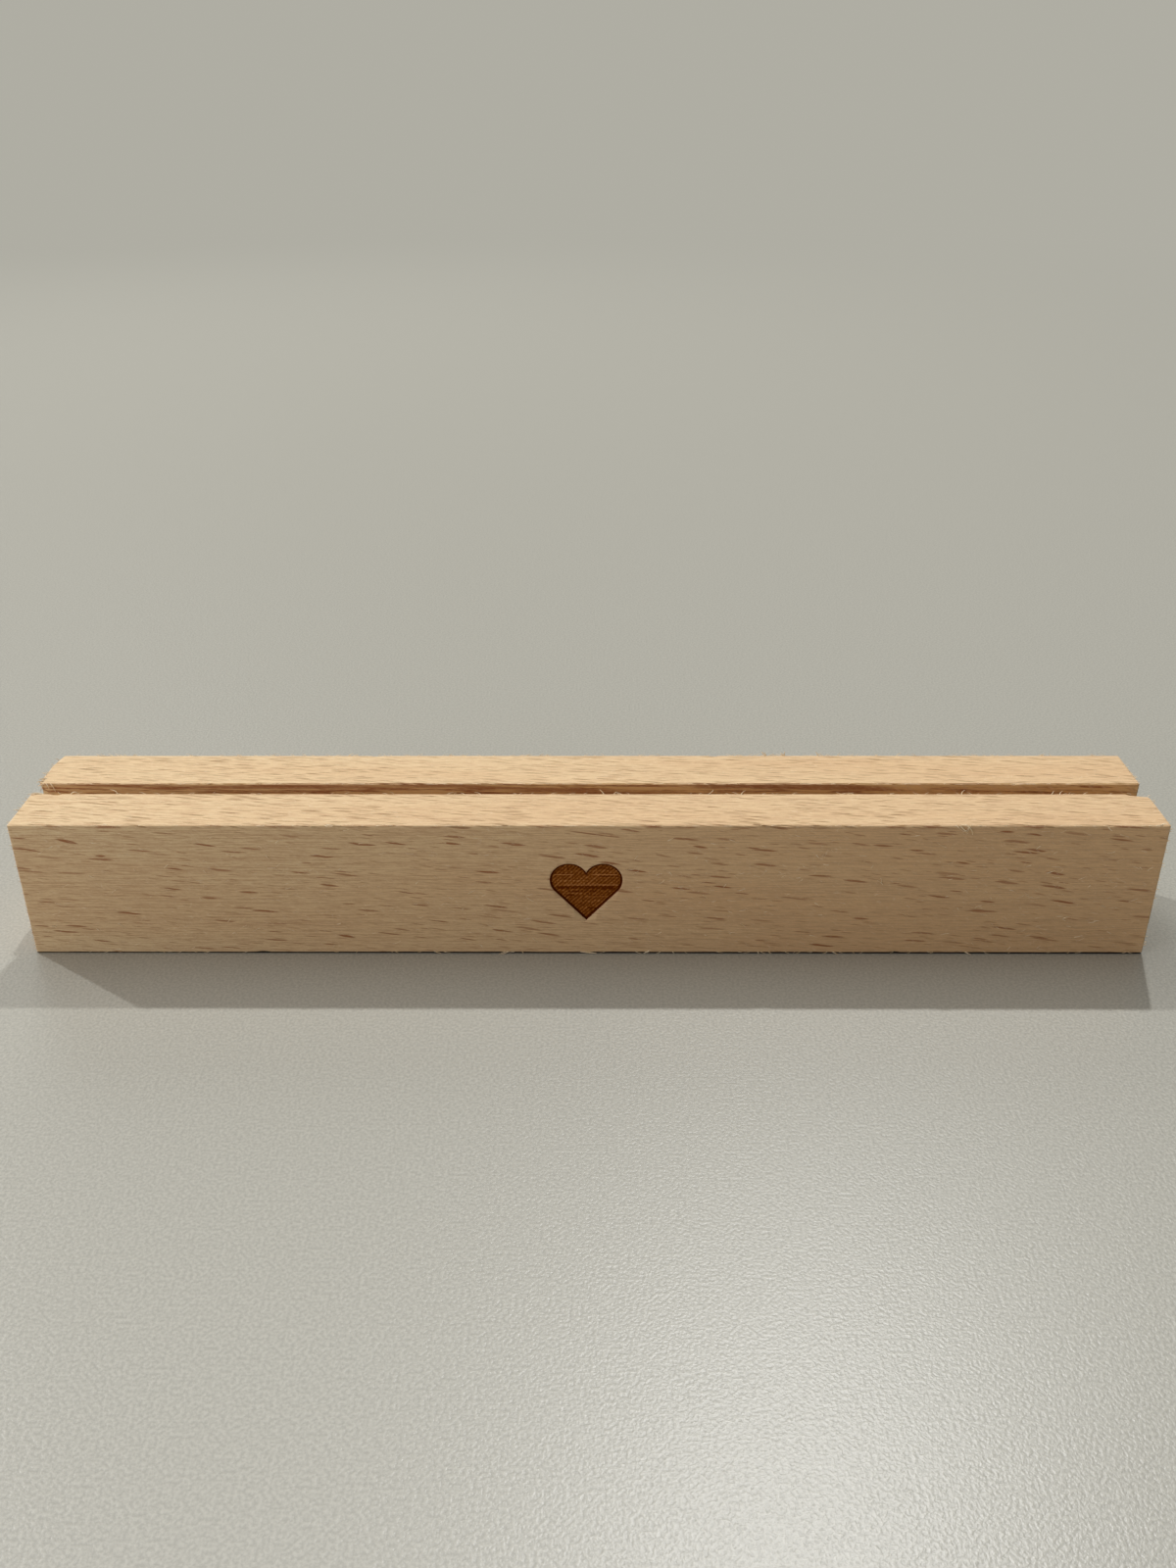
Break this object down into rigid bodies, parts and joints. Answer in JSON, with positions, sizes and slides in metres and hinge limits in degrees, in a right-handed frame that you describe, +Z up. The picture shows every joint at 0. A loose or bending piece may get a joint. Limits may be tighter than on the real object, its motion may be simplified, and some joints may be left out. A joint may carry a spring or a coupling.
{
  "type": "place card holder",
  "caption": "Wooden place card holder: a square bar with a slot sawn along its top for the card and a small heart burnt into its front.",
  "frame": {"origin": "middle of the underside, where the bar rests on the table", "axes": "+X along the bar to the viewer's right, -Y out of the front face with the heart, +Z up"},
  "size_m": [0.15, 0.02, 0.02],
  "materials": {
    "beech": "planed and sawn, uncoated, slightly fuzzy",
    "burnt_beech": "charred by a laser, matt, with fine diagonal lines"
  },
  "bodies": {
    "root": {"holder_block": "beech", "heart_burn": "burnt_beech"}
  },
  "joints": []
}
